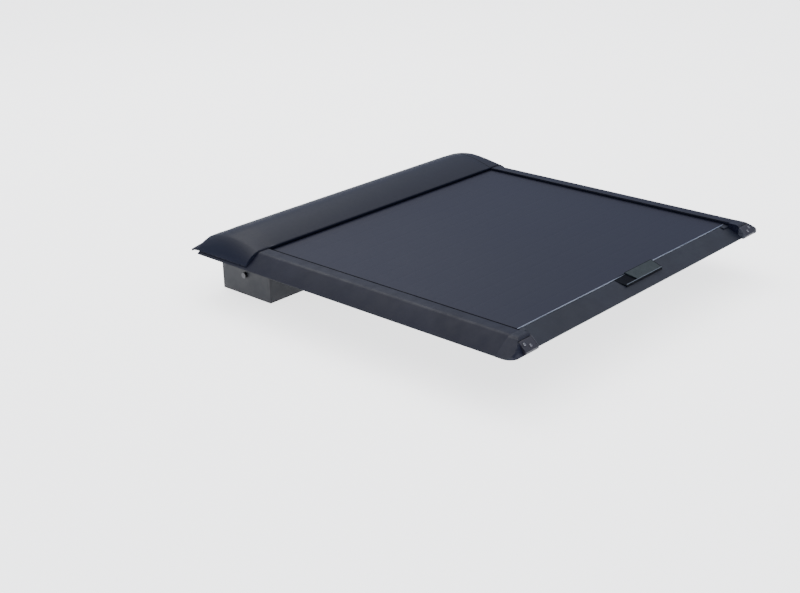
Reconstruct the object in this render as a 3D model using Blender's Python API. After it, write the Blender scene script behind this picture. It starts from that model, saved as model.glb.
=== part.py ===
"""Retractable roller tonneau cover for a mid-size double-cab pickup.

A laminated slat curtain runs in two drape-over side rails and winds onto a
spring-loaded tube in a canister behind the cab.  A sloped rear bar carries a
lift handle and two latch bolts that run into the rails.

World frame: +X to the truck's right, +Y forward (to the cab), +Z up.  The
origin is on the centreline, on the underside of the canister's front flange.
Z = 0 is also the plane of the bed-rail tops, where the side rails rest.

All numbers are millimetres; MM turns them into metres when a mesh is made.
An "offset" is a Y distance from the bar line BAR_Y, negative to the rear.
"""

import math

import bmesh
import bpy
from mathutils import Matrix, Vector

MM = 0.001
SIDES = ((-1, "left"), (1, "right"))
HOLE_CLEARANCE = 0.4      # radial, round a shaft or bolt

# ---- side rails --------------------------------------------------------------
OPENING_HALF = 633.0      # centreline to the inner lip of a side rail
RAIL_TOP_Z = 49.0         # flat top of a side rail
RAIL_FLAT_X = 681.0       # outer edge of the flat top
RAIL_SHOULDER_X = RAIL_FLAT_X + 8.0
RAIL_SHOULDER_Z = 47.2
RAIL_OUT_X = 755.0        # outer edge of the rail
RAIL_FOOT_Z = 3.2         # foot of the rail's outer slope
RAIL_FRONT_Y = -24.0
RAIL_REAR_Y = -1409.9
WEB_X = 668.0             # inner face of the rail's upright web
WEB_OUT_X = WEB_X + 3.0
CLAMP_PLACES = (("front", -420.0), ("rear", -1150.0))
CLAMP_HALF = 22.0
CLAMP_BOLT_R = 4.0
CLAMP_BOLT_Z = -6.0

# ---- curtain -----------------------------------------------------------------
BAR_Y = -1390.0           # line where the curtain meets the rear bar
CURTAIN_TOP_Z = 40.0      # top of the closed curtain
CURTAIN_BOTTOM_Z = CURTAIN_TOP_Z - 7.5
SKIN_T = 1.5
CURTAIN_HALF = 661.0
CURTAIN_REAR_Y = BAR_Y + 1.3
CURTAIN_FRONT_Y = -268.0
SLAT_COUNT = 16
SLAT_GROOVE = 3.0
LEADER_HALF = 600.0
LEADER_T = 1.0
LEADER_STANDOFF = 0.9     # leader's mid line above the roller and the wound leader
LEADER_STEPS = 5          # segments of the bend over the roller

# ---- rear bar and corner brackets --------------------------------------------
BAR_HALF = 598.0          # where the bar carries its moulded ends
BAR_WIDE = 630.5          # behind the moulded ends, just inside the rails' lips
BAR_TOP_Z = 39.3
BAR_FRONT = -2.4          # offset of the bar's front face
BAR_SLOPE = 0.44          # fall per unit of depth, 23.7 degrees
BAR_DEPTH = 80.0
BAR_T = 3.0
BAR_BOTTOM_Z = -12.0
BRACKET_FRONT, BRACKET_REAR = -61.5, -93.0      # offsets
BRACKET_IN_X, BRACKET_OUT_X = 632.0, 697.0
BRACKET_TOP_Z = 44.0      # sloped face, extended to the bracket's front
BRACKET_FALL = 0.92       # fall per unit of depth
BRACKET_NORMAL = Vector((0.0, -BRACKET_FALL, 1.0)).normalized()

# ---- canister and lid --------------------------------------------------------
MOUTH_Y = -284.0          # rear face of the lid
LID_FRONT_Y = 16.0
LID_CREST_Y, LID_CREST_Z = -140.0, 88.0
LID_MOUTH_Z = 43.3        # underside of the lid's rear face, above the curtain
LID_FOOT_Z = 3.0          # front lower edge
LID_FLAT_HALF = 575.0     # the crest is level out to here, then rounds down
LID_HALF = 748.0
LID_T = 2.5
CAN_REAR_Y, CAN_FRONT_Y = -281.0, -22.0
CAN_BOTTOM_Z = -165.0
CAN_T = 2.5
CAN_HALF = 635.6
END_PLATE_X = 636.0
END_PLATE_T = 4.0
DRAIN_R = 6.4

# ---- winding drum and guide roller -------------------------------------------
DRUM_Y, DRUM_Z = -150.0, -85.0
DRUM_AXIS = (DRUM_Y, DRUM_Z)
TUBE_R, TUBE_BORE_R = 30.0, 27.0
TUBE_HALF = 624.0
PLUG_FLANGE_R, PLUG_SPIGOT_R = 32.0, 26.6
WOUND_R = 38.0
SPINDLE_R = 6.0           # spring spindle, through the left end plate
BUSH_R = 14.0             # drum bush, through the right end plate
ROLLER_Y, ROLLER_Z, ROLLER_R = -262.0, 20.0, 12.0
ROLLER_AXIS = (ROLLER_Y, ROLLER_Z)
ROLLER_SHAFT_R = 4.0

# ---- latch -------------------------------------------------------------------
LATCH_Y = BAR_Y - 13.0    # rod line
LATCH_PIVOT_X, LATCH_PIVOT_Z = 15.0, 9.5
LATCH_ARM = 10.5          # rod line above or below the crank's pivot
LATCH_PIN_X = 1.5         # rod pin to the crank's pivot
ROD_R = 2.2
PIVOT_R = 2.5
BOLT_IN_X, BOLT_TIP_X = 612.0, 663.5
CRANK_HALF_LENGTH = 18.5
CRANK_END_R = 5.5
CRANK_ARC_STEPS = 8

# ---- handle ------------------------------------------------------------------
HANDLE_X0, HANDLE_X1 = -112.0, 136.0
HOOD_END_X = -97.0        # left end at the front edge; the end is slanted
HANDLE_SPLAY = 0.34       # X shift of a slanted edge per unit of depth
HANDLE_FRONT, HANDLE_REAR = 2.0, -44.5          # offsets
HANDLE_FRONT_Z = 47.0
HANDLE_TILT = math.radians(20.0)
PADDLE_X0, PADDLE_X1 = -19.0, 131.5
PADDLE_EDGE_X = PADDLE_X0 - 10.0  # slanted left edge, carried up to the hood's front
PADDLE_PIVOT_X = 130.0
PADDLE_PIVOT_H = -1.0     # from the tilted top
CUT_LEFT_X = -160.0       # left end of the cutters, beyond the hood
CUT_ABOVE = 20.0          # cutters' height above the tilted top

for old in list(bpy.data.objects):
    bpy.data.objects.remove(old, do_unlink=True)


# ---- objects and meshes ------------------------------------------------------
def material(name, colour, roughness, metallic=0.0):
    """Principled BSDF from an sRGB colour in 0..255."""
    mat = bpy.data.materials.new(name)
    mat.use_nodes = True
    bsdf = mat.node_tree.nodes["Principled BSDF"]
    linear = [((c / 255.0 + 0.055) / 1.055) ** 2.4 for c in colour]
    bsdf.inputs["Base Color"].default_value = (*linear, 1.0)
    bsdf.inputs["Roughness"].default_value = roughness
    bsdf.inputs["Metallic"].default_value = metallic
    return mat


def world_of(empty):
    """World position of an empty, summed up its parents."""
    place = Vector(empty.location)
    while empty.parent is not None:
        empty = empty.parent
        place = place + Vector(empty.location)
    return place


def joint_empty(name, x, y, z, parent=None):
    """An empty on a joint's axis; the moving pieces hang from it."""
    empty = bpy.data.objects.new(name, None)
    bpy.context.scene.collection.objects.link(empty)
    empty.empty_display_size = 0.02
    empty.location = Vector((x, y, z)) * MM
    if parent is not None:
        empty.parent = parent
        empty.location = Vector((x, y, z)) * MM - world_of(parent)
    return empty


def add_object(name, data, mat, parent=None, smooth=False):
    """Links a mesh or curve as an object whose origin is the world origin."""
    obj = bpy.data.objects.new(name, data)
    bpy.context.scene.collection.objects.link(obj)
    if mat is not None:
        data.materials.append(mat)
    if parent is not None:
        obj.parent = parent
        obj.location = -world_of(parent)
    if smooth:
        data.shade_smooth()
        data.set_sharp_from_angle(angle=math.radians(35.0))
    return obj


def finish_mesh(bm, name):
    bmesh.ops.remove_doubles(bm, verts=bm.verts, dist=1e-7)
    bmesh.ops.recalc_face_normals(bm, faces=bm.faces)
    mesh = bpy.data.meshes.new(name)
    bm.to_mesh(mesh)
    bm.free()
    return mesh


# ---- solids ------------------------------------------------------------------
def extrude(name, outline, axis, span, mat=None, parent=None):
    """Prism: a closed outline extruded along 'X', 'Y' or 'Z' over a (start, end) span.

    The outline is (y, z) for X, (x, z) for Y and (x, y) for Z.
    """
    start, end = span
    length = end - start
    bm = bmesh.new()
    verts = []
    for p, q in outline:
        corner = {"X": (start, p, q), "Y": (p, start, q), "Z": (p, q, start)}[axis]
        verts.append(bm.verts.new(Vector(corner) * MM))
    face = bm.faces.new(verts)
    step = {"X": (length, 0, 0), "Y": (0, length, 0), "Z": (0, 0, length)}[axis]
    result = bmesh.ops.extrude_face_region(bm, geom=[face])
    moved = [item for item in result["geom"] if isinstance(item, bmesh.types.BMVert)]
    bmesh.ops.translate(bm, verts=moved, vec=Vector(step) * MM)
    return add_object(name, finish_mesh(bm, name), mat, parent)


def box(name, x_span, y_span, z_span):
    """Box cutter from three (low, high) pairs."""
    (x0, x1), (y0, y1) = x_span, y_span
    return extrude(name, [(x0, y0), (x1, y0), (x1, y1), (x0, y1)], "Z", z_span)


def hexahedron(name, ring, other_ring, mat=None, parent=None):
    """Block from two matching four-point rings."""
    bm = bmesh.new()
    first = [bm.verts.new(Vector(corner) * MM) for corner in ring]
    second = [bm.verts.new(Vector(corner) * MM) for corner in other_ring]
    bm.faces.new(first)
    bm.faces.new(second[::-1])
    for i in range(4):
        j = (i + 1) % 4
        bm.faces.new((first[i], second[i], second[j], first[j]))
    return add_object(name, finish_mesh(bm, name), mat, parent)


def revolve(name, profile, place, segments, mat, parent=None):
    """Turning from a profile of (along, radius); place(along, radius, angle) is a point.

    A profile that starts and ends on radius 0 is solid; one that never touches
    the axis is closed on itself and leaves a bore.
    """
    bm = bmesh.new()
    rings = []
    for along, radius in profile:
        count = segments if radius > 0.0 else 1
        rings.append([
            bm.verts.new(place(along, radius, 2.0 * math.pi * i / segments) * MM)
            for i in range(count)
        ])
    pairs = list(zip(rings[:-1], rings[1:]))
    if len(rings[0]) > 1:
        pairs.append((rings[-1], rings[0]))
    for near, far in pairs:
        for i in range(segments):
            j = (i + 1) % segments
            if len(near) == 1:
                bm.faces.new((near[0], far[j], far[i]))
            elif len(far) == 1:
                bm.faces.new((near[i], near[j], far[0]))
            else:
                bm.faces.new((near[i], near[j], far[j], far[i]))
    return add_object(name, finish_mesh(bm, name), mat, parent, smooth=True)


def lathe_x(name, profile, axis, mat, parent=None, segments=24):
    """Turning about the X axis through the (y, z) point axis; the profile is (x, radius)."""
    y, z = axis

    def place(x, radius, angle):
        return Vector((x, y + radius * math.sin(angle), z + radius * math.cos(angle)))

    return revolve(name, profile, place, segments, mat, parent)


def cylinder(name, radius, start, end, segments, mat=None, parent=None):
    """Cylinder between two points."""
    start, end = Vector(start) * MM, Vector(end) * MM
    axis = end - start
    turn = axis.to_track_quat("Z", "Y").to_matrix().to_4x4()
    bm = bmesh.new()
    bmesh.ops.create_cone(
        bm, cap_ends=True, cap_tris=False, segments=segments, radius1=radius * MM,
        radius2=radius * MM, depth=axis.length,
        matrix=Matrix.Translation((start + end) / 2) @ turn,
    )
    return add_object(name, finish_mesh(bm, name), mat, parent, smooth=True)


def coil(name, start, axis, radius, wire_r, length, turns, mat, parent):
    """Round wire wound along 'X' or 'Y' from a start point."""
    steps_per_turn = 10
    curve = bpy.data.curves.new(name, "CURVE")
    curve.dimensions = "3D"
    curve.bevel_depth = wire_r * MM
    curve.bevel_resolution = 0
    curve.use_fill_caps = True
    count = turns * steps_per_turn + 1
    spline = curve.splines.new("POLY")
    spline.points.add(count - 1)
    for i in range(count):
        angle = 2.0 * math.pi * i / steps_per_turn
        along = length * i / (count - 1)
        across, up = radius * math.cos(angle), radius * math.sin(angle)
        shift = (along, across, up) if axis == "X" else (across, along, up)
        spline.points[i].co = (*((Vector(start) + Vector(shift)) * MM), 1.0)
    return add_object(name, curve, mat, parent)


def combine(obj, tool, operation="DIFFERENCE"):
    """Boolean with a tool object, which is hidden as it is not part of the product."""
    tool.hide_render = True
    tool.display_type = "WIRE"
    mod = obj.modifiers.new(operation.title(), "BOOLEAN")
    mod.operation = operation
    mod.solver = "EXACT"
    mod.object = tool


# ---- places and outlines -----------------------------------------------------
def flip(outline, side):
    """Mirrors an outline's first coordinate for the left-hand piece."""
    return outline if side > 0 else [(-p, q) for p, q in outline]


def side_span(side, inner, outer):
    """X span on one side of the truck, low end first."""
    return sorted((side * inner, side * outer))


def from_bar(outline):
    """Turns (offset, z) points into (y, z) points."""
    return [(BAR_Y + offset, z) for offset, z in outline]


def on_slope(offset, lift=0.0):
    """Height of the rear bar's sloped top."""
    return BAR_TOP_Z - (-offset + BAR_FRONT) * BAR_SLOPE + lift


def rail_height(x):
    """Top of a side rail at distance x from the centreline."""
    if x <= RAIL_FLAT_X:
        return RAIL_TOP_Z
    if x <= RAIL_SHOULDER_X:
        share = (x - RAIL_FLAT_X) / (RAIL_SHOULDER_X - RAIL_FLAT_X)
        return RAIL_TOP_Z - (RAIL_TOP_Z - RAIL_SHOULDER_Z) * share
    share = (x - RAIL_SHOULDER_X) / (RAIL_OUT_X - RAIL_SHOULDER_X)
    return RAIL_SHOULDER_Z - (RAIL_SHOULDER_Z - RAIL_FOOT_Z) * share


def bracket_top(offset):
    """Height of the corner bracket's sloped face."""
    return BRACKET_TOP_Z + BRACKET_FALL * (offset - BRACKET_FRONT)


def handle_point(x, down, height):
    """Point on the handle: down the tilted top from its front edge, height above it."""
    sine, cosine = math.sin(HANDLE_TILT), math.cos(HANDLE_TILT)
    return (
        x,
        BAR_Y + HANDLE_FRONT - cosine * down - sine * height,
        HANDLE_FRONT_Z - sine * down + cosine * height,
    )


def splayed(x, down):
    """X, at a distance down the tilt, of the slanted line that crosses x at the front edge."""
    return x + HANDLE_SPLAY * down


# ---- materials ---------------------------------------------------------------
POWDER = material("powder_coat_black", (58, 64, 76), roughness=0.48, metallic=0.25)
LID_MAT = material("lid_abs_black", (56, 62, 76), roughness=0.5)
SKIN = material("curtain_laminate", (66, 72, 87), roughness=0.42)
BAR_MAT = material("rear_bar_coat", (56, 62, 74), roughness=0.45, metallic=0.25)
LIP = material("brushed_edge", (112, 118, 132), roughness=0.35, metallic=0.9)
PLASTIC = material("moulded_black", (38, 42, 50), roughness=0.5)
PADDLE_MAT = material("paddle_grey", (70, 78, 86), roughness=0.45)
RUBBER = material("seal_rubber", (20, 22, 28), roughness=0.85)
STEEL = material("zinc_steel", (150, 152, 156), roughness=0.35, metallic=1.0)
ALU = material("mill_aluminium", (165, 168, 172), roughness=0.38, metallic=1.0)
LINER = material("track_liner_plastic", (24, 26, 30), roughness=0.6)
LEADER = material("leader_film", (34, 36, 40), roughness=0.7)
WEBBING = material("strap_webbing", (28, 29, 32), roughness=0.9)

# ---- joints ------------------------------------------------------------------
JOINT_Z = 36.0            # curtain and latch bolt joints
curtain_joint = joint_empty("axis_curtain_slide", 0, BAR_Y, JOINT_Z)
drum_joint = joint_empty("axis_drum_spin", 0, DRUM_Y, DRUM_Z)
roller_joint = joint_empty("axis_roller_spin", 0, ROLLER_Y, ROLLER_Z)
paddle_joint = joint_empty(
    "axis_paddle_lift", *handle_point(PADDLE_PIVOT_X, 25.0, PADDLE_PIVOT_H), curtain_joint,
)
crank_joint = joint_empty(
    "axis_crank_turn", LATCH_PIVOT_X, LATCH_Y, LATCH_PIVOT_Z, curtain_joint,
)
bolt_joints = {
    side: joint_empty(f"axis_latch_{word}", side * BOLT_TIP_X, LATCH_Y, JOINT_Z, curtain_joint)
    for side, word in SIDES
}

# ==============================================================================
# SIDE RAILS: drape-over extrusions with a C track, an inner leg and a base
# ==============================================================================
# (x, z) sections of the right-hand pieces
RAIL = [
    (OPENING_HALF, 43.0), (OPENING_HALF, RAIL_TOP_Z - 0.8), (OPENING_HALF + 0.8, RAIL_TOP_Z),
    (RAIL_FLAT_X, RAIL_TOP_Z), (RAIL_SHOULDER_X, RAIL_SHOULDER_Z), (RAIL_OUT_X, RAIL_FOOT_Z),
    (RAIL_OUT_X, 2.6), (731.0, 2.6), (731.0, 0.0), (704.0, 0.0), (704.0, 3.0), (727.0, 3.0),
    (727.0, 5.6), (745.96, 5.6), (685.0, 46.5), (WEB_OUT_X, 46.5), (WEB_OUT_X, 3.0),
    (700.0, 3.0), (700.0, 0.0), (674.0, 0.0), (674.0, 1.5), (WEB_OUT_X, 1.5),
    (WEB_OUT_X, -20.0), (WEB_X, -20.0), (WEB_X, 26.5), (634.0, 26.5), (634.0, 29.5),
    (WEB_X, 29.5), (WEB_X, 43.0),
]
TRACK_LINER = [
    (634.5, 29.8), (667.7, 29.8), (667.7, 42.7), (634.5, 42.7), (634.5, 40.9), (665.9, 40.9),
    (665.9, 31.6), (634.5, 31.6),
]
RAIL_SEAL = [(732.0, 0.2), (754.0, 0.2), (754.0, 2.3), (732.0, 2.3)]
STRIKE = [(664.6, 30.0), (667.6, 30.0), (667.6, 42.6), (664.6, 42.6)]
CLAMP = [
    (661.0, 12.0), (667.6, 12.0), (667.6, -25.0), (684.0, -25.0), (684.0, -21.0),
    (694.0, -21.0), (694.0, -31.0), (661.0, -31.0),
]
# (x, radius)
CLAMP_BOLT = [
    (667.5, 0.0), (667.5, CLAMP_BOLT_R), (660.7, CLAMP_BOLT_R), (660.7, 7.5), (654.0, 7.5),
    (654.0, 0.0),
]
# (name, x, offset)
BRACKET_SCREWS = (("upper", 682.0, -75.0), ("lower", 661.0, -83.0))
# (height above the bracket's sloped face, radius)
SCREW = [
    (-14.0, 0.0), (-14.0, 2.4), (0.3, 2.4), (0.3, 5.2), (1.9, 5.2), (2.7, 4.0), (2.7, 0.0),
]
CAP_FRONT, CAP_REAR = -20.3, -84.0              # offsets of the rail's end cap
CAP_COLUMNS, CAP_ROWS = 14, 12
CAP_BOTTOM_Z = 0.3
CAP_MIN_TOP_Z = 1.6


def build_rail(side, word):
    front = RAIL_FRONT_Y
    extrude(f"side_rail_{word}", flip(RAIL, side), "Y", (RAIL_REAR_Y, front), POWDER)
    extrude(f"track_liner_{word}", flip(TRACK_LINER, side), "Y", (BAR_Y + 12.0, front - 4.0), LINER)
    extrude(
        f"rail_seal_{word}", flip(RAIL_SEAL, side), "Y", (RAIL_REAR_Y + 1.0, front - 1.0), RUBBER,
    )


def cap_top(x, outer_x, offset):
    """End cap's top: the rail's section, carried down to the rear and the outer side."""
    rear_fall = RAIL_TOP_Z - 47.0 * max(0.0, (-offset - 44.0) / 40.0) ** 2.6
    side_fall = RAIL_FOOT_Z + 1.9 * (outer_x - x) + 0.9 * (offset - CAP_REAR)
    return max(min(rail_height(x), rear_fall, side_fall), CAP_MIN_TOP_Z)


def build_rail_end_cap(side, word):
    """Moulded end that carries the rail's section down and round the corner."""
    name = f"rail_end_cap_{word}"
    bm = bmesh.new()
    top, bottom = [], []
    for j in range(CAP_ROWS + 1):
        offset = CAP_FRONT + (CAP_REAR - CAP_FRONT) * (j / CAP_ROWS) ** 0.75
        turn = min(1.0, max(0.0, (-offset - 46.0) / 38.0))
        outer_x = RAIL_OUT_X - 34.0 * (1.0 - math.sqrt(1.0 - 0.96 * turn ** 2))
        top_row, bottom_row = [], []
        for i in range(CAP_COLUMNS + 1):
            x = BRACKET_IN_X + (outer_x - BRACKET_IN_X) * i / CAP_COLUMNS
            y = BAR_Y + offset
            z = cap_top(x, outer_x, offset)
            top_row.append(bm.verts.new(Vector((side * x, y, z)) * MM))
            bottom_row.append(bm.verts.new(Vector((side * x, y, CAP_BOTTOM_Z)) * MM))
        top.append(top_row)
        bottom.append(bottom_row)
    for j in range(CAP_ROWS):
        for i in range(CAP_COLUMNS):
            for grid in (top, bottom):
                bm.faces.new((grid[j][i], grid[j][i + 1], grid[j + 1][i + 1], grid[j + 1][i]))
    for j in (0, CAP_ROWS):
        for i in range(CAP_COLUMNS):
            bm.faces.new((top[j][i], bottom[j][i], bottom[j][i + 1], top[j][i + 1]))
    for i in (0, CAP_COLUMNS):
        for j in range(CAP_ROWS):
            bm.faces.new((top[j][i], top[j + 1][i], bottom[j + 1][i], bottom[j][i]))
    cap = add_object(name, finish_mesh(bm, name), PLASTIC, smooth=True)
    # seat for the corner bracket
    combine(cap, box(
        f"cut_seat_{name}", side_span(side, 620.0, BRACKET_OUT_X + 0.4),
        (BAR_Y + BRACKET_REAR - 10.0, BAR_Y + BRACKET_FRONT + 0.4), (-5.0, 60.0),
    ))


def build_strike_plate(side, word):
    """Keeper plate in the back of the track, with a window for the latch bolt."""
    strike = extrude(
        f"strike_plate_{word}", flip(STRIKE, side), "Y", (RAIL_REAR_Y + 1.0, BAR_Y + 11.6), STEEL,
    )
    combine(strike, box(
        f"cut_strike_{word}", side_span(side, 660.0, 672.0), (LATCH_Y - 3.6, LATCH_Y + 5.2),
        (32.8, 37.8),
    ))


def build_bracket_screw(name, seat):
    """Pan-head screw: head above the bracket's sloped face, shank down its hole."""
    turn = BRACKET_NORMAL.to_track_quat("Z", "Y").to_matrix().to_4x4()

    def place(height, radius, angle):
        local = Vector((radius * math.cos(angle), radius * math.sin(angle), height))
        return turn @ local + seat

    revolve(name, SCREW, place, 14, STEEL)


def build_corner_bracket(side, word):
    """Sloped screw-down bracket at the rail's rear end."""
    front, rear = BRACKET_FRONT, BRACKET_REAR
    section = [
        (front, 0.3), (front, 42.5), (front - 1.2, bracket_top(front - 1.2)),
        (rear + 1.0, bracket_top(rear + 1.0)), (rear, bracket_top(rear) - 1.5), (rear, 0.3),
    ]
    bracket = extrude(
        f"corner_bracket_{word}", from_bar(section), "X",
        side_span(side, BRACKET_IN_X, BRACKET_OUT_X), PLASTIC,
    )
    for k, (place, x, offset) in enumerate(BRACKET_SCREWS):
        seat = Vector((side * x, BAR_Y + offset, bracket_top(offset)))
        combine(bracket, cylinder(
            f"cut_bracket_{word}_{k}", 2.9, seat - BRACKET_NORMAL * 16.0,
            seat + BRACKET_NORMAL * 10.0, 16,
        ))
        build_bracket_screw(f"bracket_screw_{word}_{place}", seat)


def build_clamps(side, word):
    for place, y in CLAMP_PLACES:
        clamp = extrude(
            f"rail_clamp_{word}_{place}", flip(CLAMP, side), "Y", (y - CLAMP_HALF, y + CLAMP_HALF),
            ALU,
        )
        combine(clamp, cylinder(
            f"cut_clamp_{word}_{place}", CLAMP_BOLT_R + HOLE_CLEARANCE,
            (side * 655.0, y, CLAMP_BOLT_Z), (side * 675.0, y, CLAMP_BOLT_Z), 16,
        ))
        lathe_x(
            f"clamp_bolt_{word}_{place}", flip(CLAMP_BOLT, side), (y, CLAMP_BOLT_Z), STEEL,
            segments=12,
        )


# ==============================================================================
# CANISTER: sheet body, end plates, domed lid and seals
# ==============================================================================
# (y, z) sections
CANISTER = [
    (10.0, 0.0), (10.0, 24.0), (10.0 - CAN_T, 24.0), (10.0 - CAN_T, CAN_T),
    (CAN_FRONT_Y - CAN_T, CAN_T), (CAN_FRONT_Y - CAN_T, CAN_BOTTOM_Z + CAN_T),
    (CAN_REAR_Y + CAN_T, CAN_BOTTOM_Z + CAN_T), (CAN_REAR_Y + CAN_T, 24.0), (CAN_REAR_Y, 24.0),
    (CAN_REAR_Y, CAN_BOTTOM_Z), (CAN_FRONT_Y, CAN_BOTTOM_Z), (CAN_FRONT_Y, 0.0),
]
END_PLATE = [
    (CAN_REAR_Y, CAN_BOTTOM_Z), (CAN_FRONT_Y, CAN_BOTTOM_Z), (CAN_FRONT_Y, 0.0), (-40.0, 26.0),
    (CAN_REAR_Y, 26.0),
]
MOUTH_SEAL = [
    (MOUTH_Y + 2.8, 40.5), (MOUTH_Y + 6.0, 40.5), (MOUTH_Y + 6.0, 48.5), (MOUTH_Y + 2.8, 48.5),
]
BULKHEAD_SEAL = [
    (LID_FRONT_Y - 3.2, 0.2), (LID_FRONT_Y - 0.2, 0.2), (LID_FRONT_Y - 0.2, 2.6),
    (LID_FRONT_Y - 3.2, 2.6),
]
# x of the lid's sections on the right half; the left half mirrors them
LID_STATIONS = [
    0.0, 180.0, 360.0, 520.0, LID_FLAT_HALF, 604.0, 619.0, 630.6, 632.6, 650.0, 668.0,
    RAIL_FLAT_X, RAIL_SHOULDER_X, 699.0, 710.0, 722.0, 732.0, 740.0, 745.0, LID_HALF,
]
LID_LIP_Y, LID_LIP_Z = MOUTH_Y + 1.6, 53.4      # top of the rear face
LID_REAR_STEPS, LID_FRONT_STEPS = 8, 6          # lip to crest, crest to nose
LID_NOSE_Y = 4.0
LID_FRONT_DROP = 52.0     # crest to nose
LID_LOW_Z = 30.0          # inside the opening, only what is above this rounds down
LID_END_LOW_Z = 10.0      # the same in front of the rails
LID_EDGE_RISE = 2.8       # over the rails, from the seat to where the dome starts


def build_canister():
    canister = extrude("canister_body", CANISTER, "X", (-CAN_HALF, CAN_HALF), POWDER)
    for side, word in SIDES:
        combine(canister, cylinder(
            f"cut_drain_{word}", DRAIN_R, (side * 560.0, -60.0, CAN_BOTTOM_Z - 10.0),
            (side * 560.0, -60.0, CAN_BOTTOM_Z + 10.0), 16,
        ))


def build_end_plate(side, word):
    plate = extrude(
        f"canister_end_{word}", END_PLATE, "X",
        side_span(side, END_PLATE_X, END_PLATE_X + END_PLATE_T), POWDER,
    )
    drum_shaft_r = SPINDLE_R if side < 0 else BUSH_R
    holes = (
        ("drum", drum_shaft_r, DRUM_AXIS, 24),
        ("roller", ROLLER_SHAFT_R, ROLLER_AXIS, 16),
    )
    for part, shaft_r, axis, segments in holes:
        combine(plate, cylinder(
            f"cut_{part}_{word}", shaft_r + HOLE_CLEARANCE, (side * 630.0, *axis),
            (side * 645.0, *axis), segments,
        ))


def lid_profile():
    """Centre section of the lid as (y, z), from the mouth over the crest to the front edge."""
    points = [(MOUTH_Y, LID_MOUTH_Z), (MOUTH_Y, 47.0), (MOUTH_Y, 51.0), (LID_LIP_Y, LID_LIP_Z)]
    for k in range(1, LID_REAR_STEPS + 1):
        share = k / LID_REAR_STEPS
        y = LID_LIP_Y + (LID_CREST_Y - LID_LIP_Y) * share
        z = LID_LIP_Z + (LID_CREST_Z - LID_LIP_Z) * (1.0 - (1.0 - share) ** 1.6)
        points.append((y, z))
    for k in range(1, LID_FRONT_STEPS):
        share = k / LID_FRONT_STEPS
        y = LID_CREST_Y + (LID_NOSE_Y - LID_CREST_Y) * share
        points.append((y, LID_CREST_Z - LID_FRONT_DROP * share ** 1.9))
    points += [
        (LID_NOSE_Y, LID_CREST_Z - LID_FRONT_DROP), (11.0, 31.5), (15.0, 25.5),
        (LID_FRONT_Y, 18.0), (LID_FRONT_Y, LID_FOOT_Z),
    ]
    return points


def lid_rise(x):
    """Share of the lid's height that is left at distance x from the centre."""
    past_flat = max(0.0, (x - LID_FLAT_HALF) / (LID_HALF - LID_FLAT_HALF))
    return (1.0 - past_flat ** 2.0) ** 0.8


def lid_section(x):
    """Heights of the lid's profile points at station x."""
    x = abs(x)
    rise = lid_rise(x)
    over_rail = x > OPENING_HALF - 1.0
    seat = LID_MOUTH_Z
    if over_rail:
        # the lid's edge follows the rail's top
        seat = rail_height(x) + (0.5 if x < RAIL_FLAT_X else 0.8)
    edge = seat + LID_EDGE_RISE
    heights = []
    for k, (y, z) in enumerate(lid_profile()):
        if k < 3:
            height = seat + (0.9 * k if over_rail else z - LID_MOUTH_Z)
        elif z <= LID_FOOT_Z:
            height = LID_FOOT_Z
        elif not over_rail:
            height = min(z, LID_LOW_Z) + max(0.0, z - LID_LOW_Z) * rise
        else:
            # over the rail the lid clears its top, and past the rail's end it runs down
            clear = edge + max(0.0, z - edge) * rise
            low = LID_END_LOW_Z + (z - LID_END_LOW_Z) * rise
            share = min(1.0, max(0.0, (y + 21.0) / 24.0))
            height = clear + (low - clear) * share
        heights.append(height)
    return heights


def build_lid():
    bm = bmesh.new()
    depths = [y for y, _ in lid_profile()]
    columns = [
        [bm.verts.new(Vector((x, y, z)) * MM) for y, z in zip(depths, lid_section(x))]
        for x in [-x for x in LID_STATIONS[:0:-1]] + LID_STATIONS
    ]
    for left, right in zip(columns[:-1], columns[1:]):
        for k in range(len(left) - 1):
            bm.faces.new((left[k], right[k], right[k + 1], left[k + 1]))
    lid = add_object("canister_lid", finish_mesh(bm, "canister_lid"), LID_MAT, smooth=True)
    solid = lid.modifiers.new("Solidify", "SOLIDIFY")
    solid.thickness = LID_T * MM
    solid.offset = -1.0
    solid.use_even_offset = False


def build_canister_seals():
    extrude("mouth_seal", MOUTH_SEAL, "X", (-629.0, 629.0), RUBBER)
    extrude("bulkhead_seal", BULKHEAD_SEAL, "X", (-660.0, 660.0), RUBBER)


# ==============================================================================
# ROLLER AND DRUM: all profiles are (x, radius)
# ==============================================================================
def tube_profile(half, bore_r, outer_r):
    return [(-half, bore_r), (-half, outer_r), (half, outer_r), (half, bore_r)]


def build_roller():
    """Guide roller on its fixed shaft."""
    shaft = tube_profile(646.0, 0.0, ROLLER_SHAFT_R)
    lathe_x("roller_shaft", shaft, ROLLER_AXIS, STEEL, segments=12)
    sleeve = tube_profile(632.0, 4.5, ROLLER_R)
    lathe_x("guide_roller", sleeve, ROLLER_AXIS, ALU, roller_joint, 20)


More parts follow.
